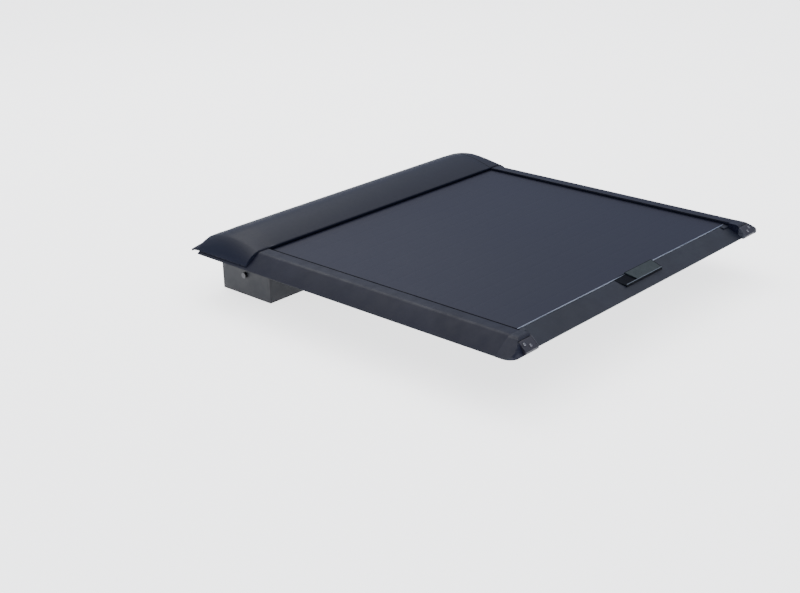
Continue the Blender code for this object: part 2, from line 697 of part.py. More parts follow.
def build_drum():
    """Winding tube with its end plugs, bush, wound leader, and spring on its spindle."""
    tube = tube_profile(TUBE_HALF, TUBE_BORE_R, TUBE_R)
    flange_x = TUBE_HALF + 0.4
    left_bore_r = 6.5
    left_plug = [
        (-630.0, left_bore_r), (-630.0, PLUG_FLANGE_R), (-flange_x, PLUG_FLANGE_R),
        (-flange_x, PLUG_SPIGOT_R), (-600.0, PLUG_SPIGOT_R), (-600.0, left_bore_r),
    ]
    journal_r = 8.0
    right_plug = [
        (600.0, 0.0), (600.0, PLUG_SPIGOT_R), (flange_x, PLUG_SPIGOT_R),
        (flange_x, PLUG_FLANGE_R), (629.0, PLUG_FLANGE_R), (629.0, journal_r),
        (643.0, journal_r), (643.0, 0.0),
    ]
    bush_bore_r = journal_r + HOLE_CLEARANCE
    bush = [
        (632.4, bush_bore_r), (632.4, 18.0), (635.6, 18.0), (635.6, BUSH_R), (642.0, BUSH_R),
        (642.0, bush_bore_r),
    ]
    wound = tube_profile(LEADER_HALF, TUBE_R + 0.4, WOUND_R)
    spindle = [
        (-650.0, 0.0), (-650.0, 11.0), (-640.4, 11.0), (-640.4, SPINDLE_R), (-90.0, SPINDLE_R),
        (-90.0, 0.0),
    ]
    lathe_x("winding_tube", tube, DRUM_AXIS, ALU, drum_joint)
    lathe_x("drum_plug_left", left_plug, DRUM_AXIS, PLASTIC, drum_joint)
    lathe_x("drum_plug_right", right_plug, DRUM_AXIS, PLASTIC, drum_joint)
    lathe_x("drum_bush_right", bush, DRUM_AXIS, LINER)
    lathe_x("wound_leader", wound, DRUM_AXIS, LEADER, drum_joint)
    lathe_x("spring_spindle", spindle, DRUM_AXIS, STEEL, segments=16)
    coil(
        "torsion_spring", (-590.0, *DRUM_AXIS), "X", radius=14.0, wire_r=2.0, length=470.0,
        turns=15, mat=STEEL, parent=drum_joint,
    )


# ==============================================================================
# CURTAIN: slats bonded under one continuous skin, and the leader to the tube
# ==============================================================================
def build_curtain():
    bottom, groove_top = CURTAIN_BOTTOM_Z, CURTAIN_TOP_Z - SKIN_T
    half_groove = SLAT_GROOVE / 2
    pitch = (CURTAIN_FRONT_Y - CURTAIN_REAR_Y) / SLAT_COUNT
    outline = [(CURTAIN_REAR_Y, CURTAIN_TOP_Z), (CURTAIN_REAR_Y, bottom)]
    for i in range(1, SLAT_COUNT):
        y = CURTAIN_REAR_Y + i * pitch
        outline += [
            (y - half_groove, bottom), (y - half_groove, groove_top),
            (y + half_groove, groove_top), (y + half_groove, bottom),
        ]
    outline += [(CURTAIN_FRONT_Y, bottom), (CURTAIN_FRONT_Y, CURTAIN_TOP_Z)]
    extrude("slat_curtain", outline, "X", (-CURTAIN_HALF, CURTAIN_HALF), SKIN, curtain_joint)


def leader_path():
    """Mid line of the leader in (y, z): over the roller, then tangent to the wound leader."""
    roller_r, drum_r = ROLLER_R + LEADER_STANDOFF, WOUND_R + LEADER_STANDOFF
    between = Vector((DRUM_Y - ROLLER_Y, DRUM_Z - ROLLER_Z))
    forward = between.normalized()
    across = Vector((-forward.y, forward.x))
    # direction from either centre to its point on the common tangent
    lean = (roller_r - drum_r) / between.length
    normal = forward * lean + across * math.sqrt(1.0 - lean ** 2)
    start_angle, end_angle = math.pi / 2, math.atan2(normal.y, normal.x)
    path = [Vector((CURTAIN_FRONT_Y + 0.6, ROLLER_Z + roller_r))]
    for k in range(LEADER_STEPS + 1):
        angle = start_angle + (end_angle - start_angle) * k / LEADER_STEPS
        y = ROLLER_Y + roller_r * math.cos(angle)
        path.append(Vector((y, ROLLER_Z + roller_r * math.sin(angle))))
    path.append(Vector(DRUM_AXIS) + normal * drum_r)
    return path


def build_leader():
    path = leader_path()
    upper, lower = [], []
    for k, point in enumerate(path):
        before, after = path[max(k - 1, 0)], path[min(k + 1, len(path) - 1)]
        tangent = (after - before).normalized()
        normal = Vector((-tangent.y, tangent.x))
        upper.append(tuple(point + normal * (LEADER_T / 2)))
        lower.append(tuple(point - normal * (LEADER_T / 2)))
    extrude(
        "curtain_leader", upper + lower[::-1], "X", (-LEADER_HALF, LEADER_HALF), LEADER,
        curtain_joint,
    )


# ==============================================================================
# REAR BAR: sloped bar, its trim, seal and strap
# ==============================================================================
# (offset, z) sections
REAR_TRIM = [(-2.0, 33.0), (-2.0, 41.2), (-1.6, 41.6), (0.6, 41.6), (1.0, 41.2), (1.0, 33.0)]
TAILGATE_SEAL = [(-74.0, 4.0), (-68.0, 6.6), (-68.0, -1.5), (-74.0, -1.5)]
PULL_STRAP = [(-2.0, 27.0), (0.0, 27.0), (0.0, -11.0), (-2.0, -11.0)]


def build_rear_bar():
    tilt = math.atan(BAR_SLOPE)
    upright_t = BAR_T / math.cos(tilt)

    def underside(offset):
        return (offset, on_slope(offset) - upright_t)

    # sloped plate with a front and a rear leg
    rear_z = on_slope(-BAR_DEPTH)
    section = [
        (BAR_FRONT, BAR_TOP_Z), (-BAR_DEPTH, rear_z),
        (-BAR_DEPTH + BAR_T * math.sin(tilt), rear_z - BAR_T * math.cos(tilt)),
        underside(-20.0), (-20.0, BAR_BOTTOM_Z), (-17.0, BAR_BOTTOM_Z), underside(-17.0),
        underside(-5.4), (-5.4, BAR_BOTTOM_Z), (BAR_FRONT, BAR_BOTTOM_Z),
    ]
    bar = extrude(
        "rear_bar", from_bar(section), "X", (-BAR_WIDE, BAR_WIDE), BAR_MAT, curtain_joint,
    )
    # notches for the moulded ends
    for side, word in SIDES:
        combine(bar, box(
            f"cut_notch_{word}", side_span(side, BAR_HALF, 640.0), (BAR_Y - 20.0, BAR_Y + 5.0),
            (-20.0, 60.0),
        ))


def build_bar_strips():
    """Trim along the curtain's edge, seal under the bar, and the webbing pull strap."""
    strips = (
        ("rear_trim", REAR_TRIM, 631.0, LIP),
        ("tailgate_seal", TAILGATE_SEAL, BAR_HALF, RUBBER),
        ("pull_strap", PULL_STRAP, 19.0, WEBBING),
    )
    for name, section, half, mat in strips:
        extrude(name, from_bar(section), "X", (-half, half), mat, curtain_joint)


# ==============================================================================
# LATCH: moulded bar ends, bolts, rods and the crank
# ==============================================================================
# (x, z) sections of the right-hand pieces
BAR_END = [
    (BAR_HALF + 0.4, BAR_BOTTOM_Z), (BAR_HALF + 0.4, 40.2), (660.5, 40.2), (660.5, 32.3),
    (631.0, 32.3), (631.0, BAR_BOTTOM_Z),
]
BOLT_CHANNEL = [
    (590.0, -9.0), (590.0, 37.3), (662.0, 37.3), (662.0, 33.3), (626.0, 33.3), (626.0, -9.0),
]
# (offset, z) section of what is cut off above the bar end's sloped top
BAR_END_SLOPE = [(-5.0, 40.3), (-5.0, 40.2), (-21.0, 37.5), (-21.0, 45.0), (-5.0, 45.0)]


def build_bar_end(side, word):
    end = extrude(
        f"bar_end_{word}", flip(BAR_END, side), "Y", (BAR_Y - 19.6, BAR_Y + BAR_FRONT), PLASTIC,
        curtain_joint,
    )
    combine(end, extrude(
        f"cut_end_{word}", flip(BOLT_CHANNEL, side), "Y", (LATCH_Y - 2.6, LATCH_Y + 4.7),
    ))
    combine(end, extrude(
        f"cut_slope_{word}", from_bar(BAR_END_SLOPE), "X", side_span(side, 560.0, 665.0),
    ))


def build_bolt_and_rod(side, word):
    """Latch bolt and its rod; the left rod is above the pivot, the right one below."""
    rod_z = LATCH_PIVOT_Z - side * LATCH_ARM
    joint = bolt_joints[side]
    bolt = [
        (BOLT_IN_X, rod_z - 4.0), (BOLT_IN_X, 36.9), (BOLT_TIP_X - 1.5, 36.9),
        (BOLT_TIP_X, 35.4), (BOLT_TIP_X, 33.7), (619.0, 33.7), (619.0, rod_z - 4.0),
    ]
    extrude(
        f"latch_bolt_{word}", flip(bolt, side), "Y", (LATCH_Y - 2.0, LATCH_Y + 4.0), STEEL, joint,
    )
    rod = cylinder(
        f"latch_rod_{word}", ROD_R, (LATCH_PIVOT_X, LATCH_Y, rod_z),
        (side * (BOLT_IN_X - 0.3), LATCH_Y, rod_z), 12, STEEL, joint,
    )
    # pin that stands forward into the crank's slot
    pin_x = LATCH_PIVOT_X + side * LATCH_PIN_X
    pin = cylinder(
        f"pin_{word}", 1.3, (pin_x, LATCH_Y, rod_z), (pin_x, LATCH_Y + 5.8, rod_z), 10,
    )
    combine(rod, pin, "UNION")


def build_crank():
    """Crank on a fixed pivot, slotted above and below it for the two rods' pins."""
    outline = []
    for start_angle, up in ((0.0, 1), (math.pi, -1)):
        centre_z = LATCH_PIVOT_Z + up * (CRANK_HALF_LENGTH - CRANK_END_R)
        for k in range(CRANK_ARC_STEPS + 1):
            angle = start_angle + math.pi * k / CRANK_ARC_STEPS
            x = LATCH_PIVOT_X + CRANK_END_R * math.cos(angle)
            outline.append((x, centre_z + CRANK_END_R * math.sin(angle)))
    crank = extrude("latch_crank", outline, "Y", (BAR_Y - 9.9, BAR_Y - 7.2), STEEL, crank_joint)
    cut_span = (BAR_Y - 15.0, BAR_Y - 2.0)
    combine(crank, cylinder(
        "cut_crank_pivot", PIVOT_R + HOLE_CLEARANCE, (LATCH_PIVOT_X, cut_span[0], LATCH_PIVOT_Z),
        (LATCH_PIVOT_X, cut_span[1], LATCH_PIVOT_Z), 16,
    ))
    for word, up in (("upper", 1), ("lower", -1)):
        slot_x = LATCH_PIVOT_X - up * LATCH_PIN_X
        slot_z = sorted((LATCH_PIVOT_Z + up * 8.3, LATCH_PIVOT_Z + up * 16.6))
        combine(crank, box(f"cut_slot_{word}", (slot_x - 2.3, slot_x + 2.3), cut_span, slot_z))
    cylinder(
        "crank_pivot", PIVOT_R, (LATCH_PIVOT_X, BAR_Y - 5.7, LATCH_PIVOT_Z),
        (LATCH_PIVOT_X, BAR_Y - 16.7, LATCH_PIVOT_Z), 16, STEEL, curtain_joint,
    )
    coil(
        "crank_return_spring", (LATCH_PIVOT_X, BAR_Y - 15.6, LATCH_PIVOT_Z), "Y", radius=4.6,
        wire_r=0.6, length=4.6, turns=3, mat=STEEL, parent=crank_joint,
    )


# ==============================================================================
# HANDLE: a low hood on the bar, with a lift plate, a thumb scoop to its left and
# an open left end
# ==============================================================================
def tilted_ring(left, right, downs, heights):
    """Four handle points: front left, front right, rear right, rear left.

    left and right give an edge's x from its distance down the tilt; downs is the
    (front, rear) pair and heights the (left, right) pair.
    """
    front, rear = downs
    left_h, right_h = heights
    return [
        handle_point(left(front), front, left_h), handle_point(right(front), front, right_h),
        handle_point(right(rear), rear, right_h), handle_point(left(rear), rear, left_h),
    ]


def straight_edge(x):
    return lambda down: x


def splayed_edge(x):
    return lambda down: splayed(x, down)


def build_housing():
    front, rear, bar_side = HANDLE_FRONT, HANDLE_REAR, -2.6
    section = [
        (front, 42.0), (front, HANDLE_FRONT_Z),
        (rear, HANDLE_FRONT_Z + math.tan(HANDLE_TILT) * (rear - front)),
        (rear, on_slope(rear, 0.4)), (bar_side, on_slope(bar_side, 0.4)), (bar_side, 42.0),
    ]
    housing = extrude(
        "handle_housing", from_bar(section), "X", (HANDLE_X0, HANDLE_X1), PLASTIC, curtain_joint,
    )

    # slanted left end
    hood_end = [
        (CUT_LEFT_X, BAR_Y + 20.0), (splayed(HOOD_END_X, -18.0), BAR_Y + 20.0),
        (splayed(HOOD_END_X, 75.0), BAR_Y - 70.0), (CUT_LEFT_X, BAR_Y - 70.0),
    ]
    combine(housing, extrude("cut_hood_end", hood_end, "Z", (-20.0, 90.0)))

    # thumb scoop: open to the front and the left, closed by the rear rim
    scoop = (straight_edge(CUT_LEFT_X), splayed_edge(PADDLE_EDGE_X), (-12.0, 45.9))
    combine(housing, hexahedron(
        "cut_scoop", tilted_ring(*scoop, (-5.6, -3.4)), tilted_ring(*scoop, (CUT_ABOVE, CUT_ABOVE)),
    ))

    # hollow under the scoop, open at the left end
    hollow_x = -24.0
    hollow_front, hollow_rear = BAR_Y - 9.0, BAR_Y - 42.5
    hollow_bottom = [
        (CUT_LEFT_X, hollow_front, 10.0), (hollow_x, hollow_front, 10.0),
        (hollow_x, hollow_rear, -20.0), (CUT_LEFT_X, hollow_rear, -20.0),
    ]
    hollow_top = tilted_ring(
        straight_edge(CUT_LEFT_X), straight_edge(hollow_x), (11.7, 47.4), (-7.6, -5.9),
    )
    combine(housing, hexahedron("cut_hollow", hollow_bottom, hollow_top))

    # pocket for the lift plate
    pocket = (splayed_edge(PADDLE_EDGE_X - 0.6), straight_edge(PADDLE_X1 + 1.0), (2.0, 47.1))
    combine(housing, hexahedron(
        "cut_pocket", tilted_ring(*pocket, (-3.6, -3.6)),
        tilted_ring(*pocket, (CUT_ABOVE, CUT_ABOVE)),
    ))


def build_paddle():
    """Lift plate and the pin along its right edge."""
    plate = (splayed_edge(PADDLE_EDGE_X), straight_edge(PADDLE_X1), (2.4, 46.7))
    paddle = hexahedron(
        "handle_paddle", tilted_ring(*plate, (-2.6, -2.6)), tilted_ring(*plate, (0.6, 0.6)),
        PADDLE_MAT, paddle_joint,
    )

    def on_pivot(down):
        return handle_point(PADDLE_PIVOT_X, down, PADDLE_PIVOT_H)

    combine(paddle, cylinder("cut_paddle_pin", 1.15, on_pivot(0.0), on_pivot(52.0), 12))
    cylinder("paddle_pin", 0.8, on_pivot(2.3), on_pivot(46.8), 12, STEEL, curtain_joint)


# ---- assembly ----------------------------------------------------------------
build_canister()
build_lid()
build_canister_seals()
build_roller()
build_drum()
build_curtain()
build_leader()
build_rear_bar()
build_bar_strips()
for side_sign, side_word in SIDES:
    build_rail(side_sign, side_word)
    build_rail_end_cap(side_sign, side_word)
    build_strike_plate(side_sign, side_word)
    build_corner_bracket(side_sign, side_word)
    build_clamps(side_sign, side_word)
    build_end_plate(side_sign, side_word)
    build_bar_end(side_sign, side_word)
    build_bolt_and_rod(side_sign, side_word)
build_crank()
build_housing()
build_paddle()
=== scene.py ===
"""Looks of a retractable roller tonneau cover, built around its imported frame.

X runs across the truck bed, +Y points to the front, where the canister holds the wound
curtain, and +Z is up. The curtain slides along Y between two side rails. Lengths are in
millimetres and become metres when a mesh is made; materials, stage and camera use metres.
"""
import math

import bmesh
import bpy
from mathutils import Matrix, Vector


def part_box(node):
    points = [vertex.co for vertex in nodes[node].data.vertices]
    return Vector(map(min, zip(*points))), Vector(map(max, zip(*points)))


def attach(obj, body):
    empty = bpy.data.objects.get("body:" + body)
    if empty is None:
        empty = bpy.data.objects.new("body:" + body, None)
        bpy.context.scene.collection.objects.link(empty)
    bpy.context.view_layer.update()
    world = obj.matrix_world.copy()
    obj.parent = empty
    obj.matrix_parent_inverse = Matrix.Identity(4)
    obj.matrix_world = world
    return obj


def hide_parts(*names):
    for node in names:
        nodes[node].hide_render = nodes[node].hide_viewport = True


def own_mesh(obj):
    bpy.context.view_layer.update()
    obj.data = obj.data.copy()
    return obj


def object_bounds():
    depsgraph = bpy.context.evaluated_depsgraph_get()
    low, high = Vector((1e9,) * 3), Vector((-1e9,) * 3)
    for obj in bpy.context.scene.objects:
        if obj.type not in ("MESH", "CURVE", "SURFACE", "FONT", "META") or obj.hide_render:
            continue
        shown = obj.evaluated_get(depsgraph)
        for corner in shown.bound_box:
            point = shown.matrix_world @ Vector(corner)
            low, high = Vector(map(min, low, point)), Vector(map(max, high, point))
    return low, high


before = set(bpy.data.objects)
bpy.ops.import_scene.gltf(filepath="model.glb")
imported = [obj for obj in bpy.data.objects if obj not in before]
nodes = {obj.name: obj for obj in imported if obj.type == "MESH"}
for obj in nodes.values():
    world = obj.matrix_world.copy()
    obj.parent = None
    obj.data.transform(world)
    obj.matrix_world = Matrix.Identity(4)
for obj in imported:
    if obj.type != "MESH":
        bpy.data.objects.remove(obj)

CAD_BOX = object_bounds()
MM = 0.001
SIDES = ((-1.0, "left"), (1.0, "right"))


# ------------------------------------------------------------------------------
# places read from the frame
# ------------------------------------------------------------------------------
def low(node, axis):
    return getattr(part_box(node)[0], axis) / MM


def high(node, axis):
    return getattr(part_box(node)[1], axis) / MM


# the curtain's rear edge and its top face, in metres
CURTAIN_ANCHOR = (0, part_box("rear_bar")[1].y + 0.0024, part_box("slat_curtain")[1].z)
EDGE_Y = CURTAIN_ANCHOR[1] / MM
CURTAIN_TOP = CURTAIN_ANCHOR[2] / MM
CURTAIN_REAR, CURTAIN_FRONT = low("slat_curtain", "y"), high("slat_curtain", "y")
CURTAIN_X = high("slat_curtain", "x")

RAIL_LIP_X = low("side_rail_right", "x")      # inner lip
RAIL_OUT_X = high("side_rail_right", "x")
RAIL_TOP = high("side_rail_right", "z")
RAIL_REAR, RAIL_FRONT = low("side_rail_right", "y"), high("side_rail_right", "y")
RAIL_FLAT_X = 681.0                           # outer end of the rail's flat top

LID_REAR, LID_FRONT = low("canister_lid", "y"), high("canister_lid", "y")
LID_TOP = high("canister_lid", "z")
LID_X = high("canister_lid", "x")

BRACKET_REAR, BRACKET_FRONT = low("corner_bracket_right", "y"), high("corner_bracket_right", "y")
BRACKET_IN_X, BRACKET_OUT_X = low("corner_bracket_right", "x"), high("corner_bracket_right", "x")


# ------------------------------------------------------------------------------
# node materials
# ------------------------------------------------------------------------------
class Nodes:
    """Small helper for building a material's node tree in object coordinates."""

    def __init__(self, name):
        self.mat = bpy.data.materials.new(name)
        self.mat.use_nodes = True
        self.tree = self.mat.node_tree
        self.bsdf = self.tree.nodes["Principled BSDF"]
        self.place = self.new("ShaderNodeTexCoord").outputs["Object"]

    def new(self, kind, **props):
        node = self.tree.nodes.new(kind)
        for key, value in props.items():
            setattr(node, key, value)
        return node

    def feed(self, socket, value):
        """Link another node's output to a socket, or set the socket's own value."""
        if isinstance(value, bpy.types.NodeSocket):
            self.tree.links.new(value, socket)
        else:
            socket.default_value = value

    def stretched(self, scale):
        mapping = self.new("ShaderNodeMapping")
        self.feed(mapping.inputs["Scale"], scale)
        self.feed(mapping.inputs["Vector"], self.place)
        return mapping.outputs["Vector"]

    def noise(self, scale, detail=3.0, roughness=0.5, vector=None):
        node = self.new("ShaderNodeTexNoise")
        self.feed(node.inputs["Scale"], scale)
        self.feed(node.inputs["Detail"], detail)
        self.feed(node.inputs["Roughness"], roughness)
        self.feed(node.inputs["Vector"], vector or self.place)
        return node.outputs["Fac"]

    def cells(self, scale, feature="F1"):
        node = self.new("ShaderNodeTexVoronoi", feature=feature)
        self.feed(node.inputs["Scale"], scale)
        self.feed(node.inputs["Vector"], self.place)
        return node.outputs["Distance"]

    def remap(self, value, to=(0.0, 1.0), source=(0.3, 0.7)):
        """Carry the source range smoothly to another range."""
        node = self.new("ShaderNodeMapRange", interpolation_type="SMOOTHSTEP")
        for key, number in zip(("From Min", "From Max", "To Min", "To Max"), (*source, *to)):
            self.feed(node.inputs[key], number)
        self.feed(node.inputs["Value"], value)
        return node.outputs["Result"]

    def mix(self, factor, first, second):
        node = self.new("ShaderNodeMix", data_type="RGBA")
        for index, colour in ((6, first), (7, second)):      # the node's colour inputs
            rgba = (*colour, 1.0) if isinstance(colour, tuple) else colour
            self.feed(node.inputs[index], rgba)
        self.feed(node.inputs[0], factor)
        return node.outputs[2]

    def maths(self, operation, *values):
        node = self.new("ShaderNodeMath", operation=operation)
        for socket, value in zip(node.inputs, values):
            self.feed(socket, value)
        return node.outputs[0]

    def bump(self, height, strength, distance):
        node = self.new("ShaderNodeBump")
        self.feed(node.inputs["Strength"], strength)
        self.feed(node.inputs["Distance"], distance)
        self.feed(node.inputs["Height"], height)
        return node.outputs["Normal"]

    def edge_wear(self):
        """High near convex edges."""
        geometry = self.new("ShaderNodeNewGeometry")
        return self.remap(geometry.outputs["Pointiness"], source=(0.51, 0.60))

    def done(self, colour, rough, normal=None, metal=0.0, **extra):
        """Fill the surface's inputs; underscores in extra names stand for spaces."""
        self.feed(self.bsdf.inputs["Base Color"], colour)
        self.feed(self.bsdf.inputs["Roughness"], rough)
        self.feed(self.bsdf.inputs["Metallic"], metal)
        if normal:
            self.feed(self.bsdf.inputs["Normal"], normal)
        for key, value in extra.items():
            self.feed(self.bsdf.inputs[key.replace("_", " ")], value)
        return self.mat


def shade(colour, factor):
    return tuple(channel * factor for channel in colour)


def powder(name, base, rough, spec, grain=1400.0):
    """Fine textured powder coat: orange peel, a slow tone drift and pale specks."""
    n = Nodes(name)
    slow = n.noise(scale=6.0, detail=4.0, roughness=0.55)
    fine = n.noise(scale=grain, detail=2.0, roughness=0.6)
    peel = n.noise(scale=grain * 0.22, detail=2.0)
    speck = n.noise(scale=grain * 0.6, detail=1.0)
    tone = n.mix(n.remap(slow), shade(base, 0.90), shade(base, 1.10))
    specks = n.remap(speck, to=(0.0, 0.22), source=(0.60, 0.78))
    tone = n.mix(specks, tone, shade(base, 1.9))
    patches = n.noise(scale=18.0, detail=5.0, roughness=0.6)
    height = n.maths("ADD", fine, n.maths("MULTIPLY", peel, 1.6))
    return n.done(tone, n.remap(patches, to=(rough - 0.05, rough + 0.06)),
                  n.bump(height, strength=0.55, distance=0.00003),
                  Specular_IOR_Level=spec, Coat_Roughness=0.35)


def moulded(name, base, rough, grain=900.0, depth=0.00008, spec=0.45, wear=0.35,
            drift=0.12, patchy=0.06):
    """Spark-eroded moulded plastic with paler edges.

    depth is the grain's height, wear the strength of the pale edges, and drift and
    patchy the spread of tone and of roughness.
    """
    n = Nodes(name)
    cells = n.cells(scale=grain)
    fine = n.noise(scale=grain * 1.8, detail=2.0, roughness=0.6)
    slow = n.noise(scale=14.0, detail=4.0, roughness=0.6)
    tone = n.mix(n.remap(slow), shade(base, 1.0 - drift), shade(base, 1.0 + drift))
    tone = n.mix(n.maths("MULTIPLY", n.edge_wear(), wear), tone, shade(base, 2.2))
    height = n.maths("ADD", n.maths("MULTIPLY", cells, 1.2), fine)
    return n.done(tone, n.remap(n.noise(scale=60.0), to=(rough - patchy, rough + patchy)),
                  n.bump(height, strength=0.4, distance=depth), Specular_IOR_Level=spec)


def laminate(name, base, rough, spec):
    """The curtain's skin: a calendered vinyl face with a pin-fine leather print."""
    n = Nodes(name)
    leather = n.remap(n.cells(scale=950.0, feature="DISTANCE_TO_EDGE"), source=(0.0, 0.16))
    fine = n.noise(scale=2600.0, detail=2.0)
    slow = n.noise(scale=2.4)
    tone = n.mix(n.remap(slow), shade(base, 0.95), shade(base, 1.06))
    # the grain's creases are darkened a little: painted shade
    creases = n.remap(leather, to=(0.16, 0.0), source=(0.0, 1.0))
    tone = n.mix(creases, tone, shade(base, 0.7))
    gloss = n.maths("ADD", n.remap(slow, to=(-0.02, 0.02)),
                    n.remap(fine, to=(rough - 0.03, rough + 0.05)))
    height = n.maths("ADD", leather, n.maths("MULTIPLY", fine, 0.3))
    return n.done(tone, gloss, n.bump(height, strength=0.15, distance=0.00003),
                  Specular_IOR_Level=spec, Sheen_Weight=0.03, Sheen_Roughness=0.4)


def brushed(name, base, rough, along="X", metal=1.0):
    """Metal with fine lines along one axis."""
    n = Nodes(name)
    stretch = {"X": (6.0, 900.0, 900.0), "Y": (900.0, 6.0, 900.0)}[along]
    lines = n.noise(scale=1.0, roughness=0.6, vector=n.stretched(stretch))
    slow = n.noise(scale=12.0, detail=4.0, roughness=0.6)
    tone = n.mix(n.remap(lines), shade(base, 0.84), shade(base, 1.14))
    tone = n.mix(n.remap(slow, to=(0.0, 0.25), source=(0.45, 0.8)), tone, shade(base, 0.7))
    return n.done(tone, n.remap(lines, to=(rough - 0.07, rough + 0.10)),
                  n.bump(lines, strength=0.25, distance=0.00004), metal, Anisotropic=0.5)


def zinc(name, base, rough):
    """Zinc-plated steel with a faint spangle."""
    n = Nodes(name)
    spangle = n.remap(n.cells(scale=260.0), source=(0.0, 0.8))
    tone = n.mix(spangle, shade(base, 0.82), shade(base, 1.12))
    stain = n.noise(scale=40.0, detail=5.0, roughness=0.65)
    tone = n.mix(n.remap(stain, to=(0.0, 0.4), source=(0.55, 0.8)), tone, shade(base, 0.5))
    return n.done(tone, n.remap(n.noise(scale=300.0), to=(rough - 0.08, rough + 0.12)),
                  n.bump(n.noise(scale=900.0, detail=2.0), strength=0.15, distance=0.00004),
                  metal=1.0)


def rubber(name, base, rough=0.78, spec=0.3):
    """Matt rubber with a fine grain."""
    n = Nodes(name)
    fine = n.noise(scale=1200.0, detail=2.0, roughness=0.6)
    slow = n.noise(scale=35.0, detail=4.0, roughness=0.6)
    tone = n.mix(n.remap(slow), shade(base, 0.8), shade(base, 1.35))
    return n.done(tone, n.remap(slow, to=(rough - 0.08, rough + 0.08)),
                  n.bump(fine, strength=0.5, distance=0.00008), Specular_IOR_Level=spec)


def weave(name, base, pitch, along="Y"):
    """Plain weave: yarns crossing along X and one other axis, with stray fibre tone."""
    n = Nodes(name)
    split = n.new("ShaderNodeSeparateXYZ")
    n.feed(split.inputs[0], n.place)
    waves = [n.maths("SINE", n.maths("MULTIPLY", split.outputs[axis], 2.0 * math.pi / pitch))
             for axis in ("X", along)]
    yarns = n.maths("MULTIPLY", *waves)
    fibres = n.noise(scale=4000.0, detail=2.0)
    height = n.maths("ADD", n.maths("MULTIPLY", yarns, 0.5), n.maths("MULTIPLY", fibres, 0.4))
    # the yarns' raised crowns are lighter and the dips between them darker: painted light and
    # shade
    tone = n.mix(n.remap(yarns, source=(-0.8, 0.8)), shade(base, 0.55), shade(base, 1.3))
    stray = n.noise(scale=50.0, detail=4.0, roughness=0.6)
    tone = n.mix(n.remap(stray, to=(0.0, 0.4)), tone, shade(base, 1.5))
    return n.done(tone, 0.85, n.bump(height, strength=0.8, distance=0.0003),
                  Sheen_Weight=0.25, Sheen_Roughness=0.5, Specular_IOR_Level=0.25)


RAIL_POWDER = powder("rail_powder", (0.0028, 0.0038, 0.0130), rough=0.50, spec=0.18)
CANISTER_POWDER = powder("canister_powder", (0.0065, 0.0078, 0.0120), rough=0.52, spec=0.28)
LID_PLASTIC = moulded("lid_moulding", (0.0036, 0.0052, 0.0145), rough=0.52, grain=1500.0,
                      depth=0.000004, spec=0.17, wear=0.0, drift=0.03, patchy=0.008)
LAMINATE = laminate("curtain_laminate", (0.0068, 0.0078, 0.0200), rough=0.52, spec=0.16)
SLAT_METAL = brushed("slat_extrusion", (0.20, 0.21, 0.22), rough=0.42, metal=0.85)
BAR_POWDER = powder("bar_powder", (0.0078, 0.0100, 0.0185), rough=0.48, spec=0.24, grain=1600.0)
LIP_METAL = brushed("lip_edge", (0.30, 0.33, 0.40), rough=0.34)
BLACK_PLASTIC = moulded("moulded_black", (0.0080, 0.0074, 0.0135), rough=0.44, spec=0.4)
CAP_PLASTIC = moulded("cap_moulding", (0.0032, 0.0043, 0.0130), rough=0.50, grain=1100.0,
                      depth=0.00002, spec=0.22, wear=0.1, drift=0.05)
# near-black, darker than the other black mouldings: the handle housing's own black with painted
# shade for its scoop and open end
HOOD_BLACK_AND_SHADE = moulded("hood_black_and_painted_shade", (0.0018, 0.0026, 0.0052), rough=0.54, grain=1300.0,
                       depth=0.00002, spec=0.05, wear=0.1)
PLATE_PLASTIC = moulded("plate_moulding", (0.0100, 0.0150, 0.0175), rough=0.46, grain=1500.0,
                        depth=0.00002, spec=0.20)
# pale colour for the hood's rear rim: painted highlight
RIM_PAINTED_HIGHLIGHT = moulded("rim_painted_highlight", (0.045, 0.055, 0.070), rough=0.40, grain=1500.0,
                      depth=0.00003)
# near-black matt strip on each rail's lip: painted shadow line along the lip
LIP_SHADOW_BLACK = rubber("lip_shadow_black", (0.0010, 0.0012, 0.0018), rough=0.9, spec=0.03)
# pale colour for the bead on each bracket's inner edge: painted highlight
BEAD_PAINTED_HIGHLIGHT = moulded("bead_painted_highlight", (0.035, 0.038, 0.050), rough=0.34, grain=1500.0,
                       depth=0.00002)
SCREW_ZINC = zinc("screw_zinc", (0.17, 0.17, 0.19), rough=0.36)
DARK_STEEL = zinc("blackened_steel", (0.06, 0.06, 0.065), rough=0.4)
SEAL_RUBBER = rubber("seal_rubber", (0.012, 0.013, 0.016))
ZINC_PLATE = zinc("zinc_plate", (0.42, 0.43, 0.45), rough=0.34)
ALUMINIUM = brushed("mill_aluminium", (0.50, 0.52, 0.54), rough=0.38)
ALUMINIUM_Y = brushed("mill_aluminium_y", (0.48, 0.50, 0.52), rough=0.40, along="Y")
LINER = moulded("liner_plastic", (0.014, 0.015, 0.018), rough=0.55, grain=800.0)
CLOTH = weave("leader_cloth", (0.025, 0.027, 0.032), pitch=0.0016)
WEBBING = weave("strap_webbing", (0.020, 0.021, 0.025), pitch=0.0018, along="Z")
SPRING_WIRE = zinc("spring_wire", (0.20, 0.20, 0.21), rough=0.3)

NODE_MATERIALS = {
    "side_rail_left": RAIL_POWDER, "side_rail_right": RAIL_POWDER,
    "canister_body": CANISTER_POWDER, "canister_end_left": CANISTER_POWDER,
    "canister_end_right": CANISTER_POWDER, "canister_lid": LID_PLASTIC,
    "slat_curtain": LAMINATE, "rear_bar": BAR_POWDER, "rear_trim": LIP_METAL,
    "handle_housing": HOOD_BLACK_AND_SHADE, "handle_paddle": PLATE_PLASTIC,
    "winding_tube": ALUMINIUM, "guide_roller": ALUMINIUM,
    "curtain_leader": CLOTH, "wound_leader": CLOTH, "pull_strap": WEBBING,
    "torsion_spring": SPRING_WIRE, "crank_return_spring": SPRING_WIRE,
}


